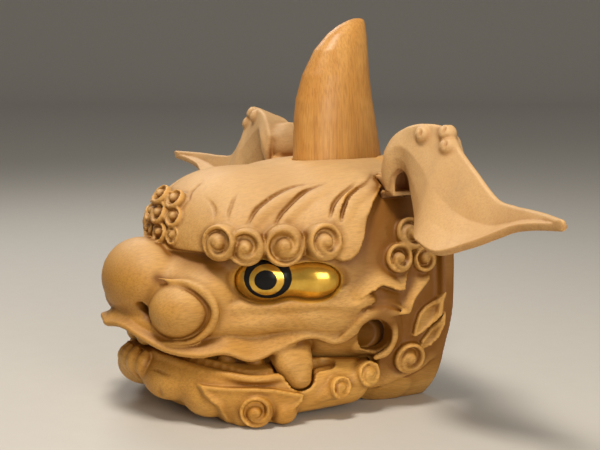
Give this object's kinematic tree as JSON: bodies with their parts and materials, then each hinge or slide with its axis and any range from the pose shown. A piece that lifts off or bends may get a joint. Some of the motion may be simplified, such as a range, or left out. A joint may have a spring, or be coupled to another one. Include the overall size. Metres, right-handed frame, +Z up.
{
  "type": "lion dance mask",
  "caption": "Carved wooden lion dance head, hollow and open at the back and below, with a hinged lower jaw, a horn, leaf-shaped ears and gilt eyes.",
  "frame": {"origin": "centre of the bounding box at the ground plane, under the closed jaw and the rear corners of the cheeks", "axes": "-Y the way the face looks, +X the mask's own left, +Z up; the open back is a flat rim facing +Y"},
  "size_m": [0.7274, 0.3124, 0.377],
  "materials": {
    "head_wood": "hand carved, satin, unpainted",
    "jaw_wood": "hand carved, satin, unpainted",
    "horn_wood": "smooth, lightly polished, straight grain",
    "ear_left_wood": "smooth carved, satin, unpainted",
    "ear_right_wood": "smooth carved, satin, unpainted",
    "eye_left_gilt": "polished gold leaf over lacquered wood, rings and pupil painted black",
    "eye_right_gilt": "polished gold leaf over lacquered wood, rings and pupil painted black"
  },
  "bodies": {
    "upper_head": {"head": "head_wood", "horn": "horn_wood", "ear_left": "ear_left_wood", "ear_right": "ear_right_wood", "eye_left": "eye_left_gilt", "eye_right": "eye_right_gilt"},
    "lower_jaw": {"jaw": "jaw_wood"}
  },
  "joints": [
    {"name": "jaw_hinge", "type": "hinge", "parent": "upper_head", "child": "lower_jaw", "pos_m": [0, 0.10671, 0.012], "axis": [1, 0, 0], "range_deg": [0, 22]}
  ]
}
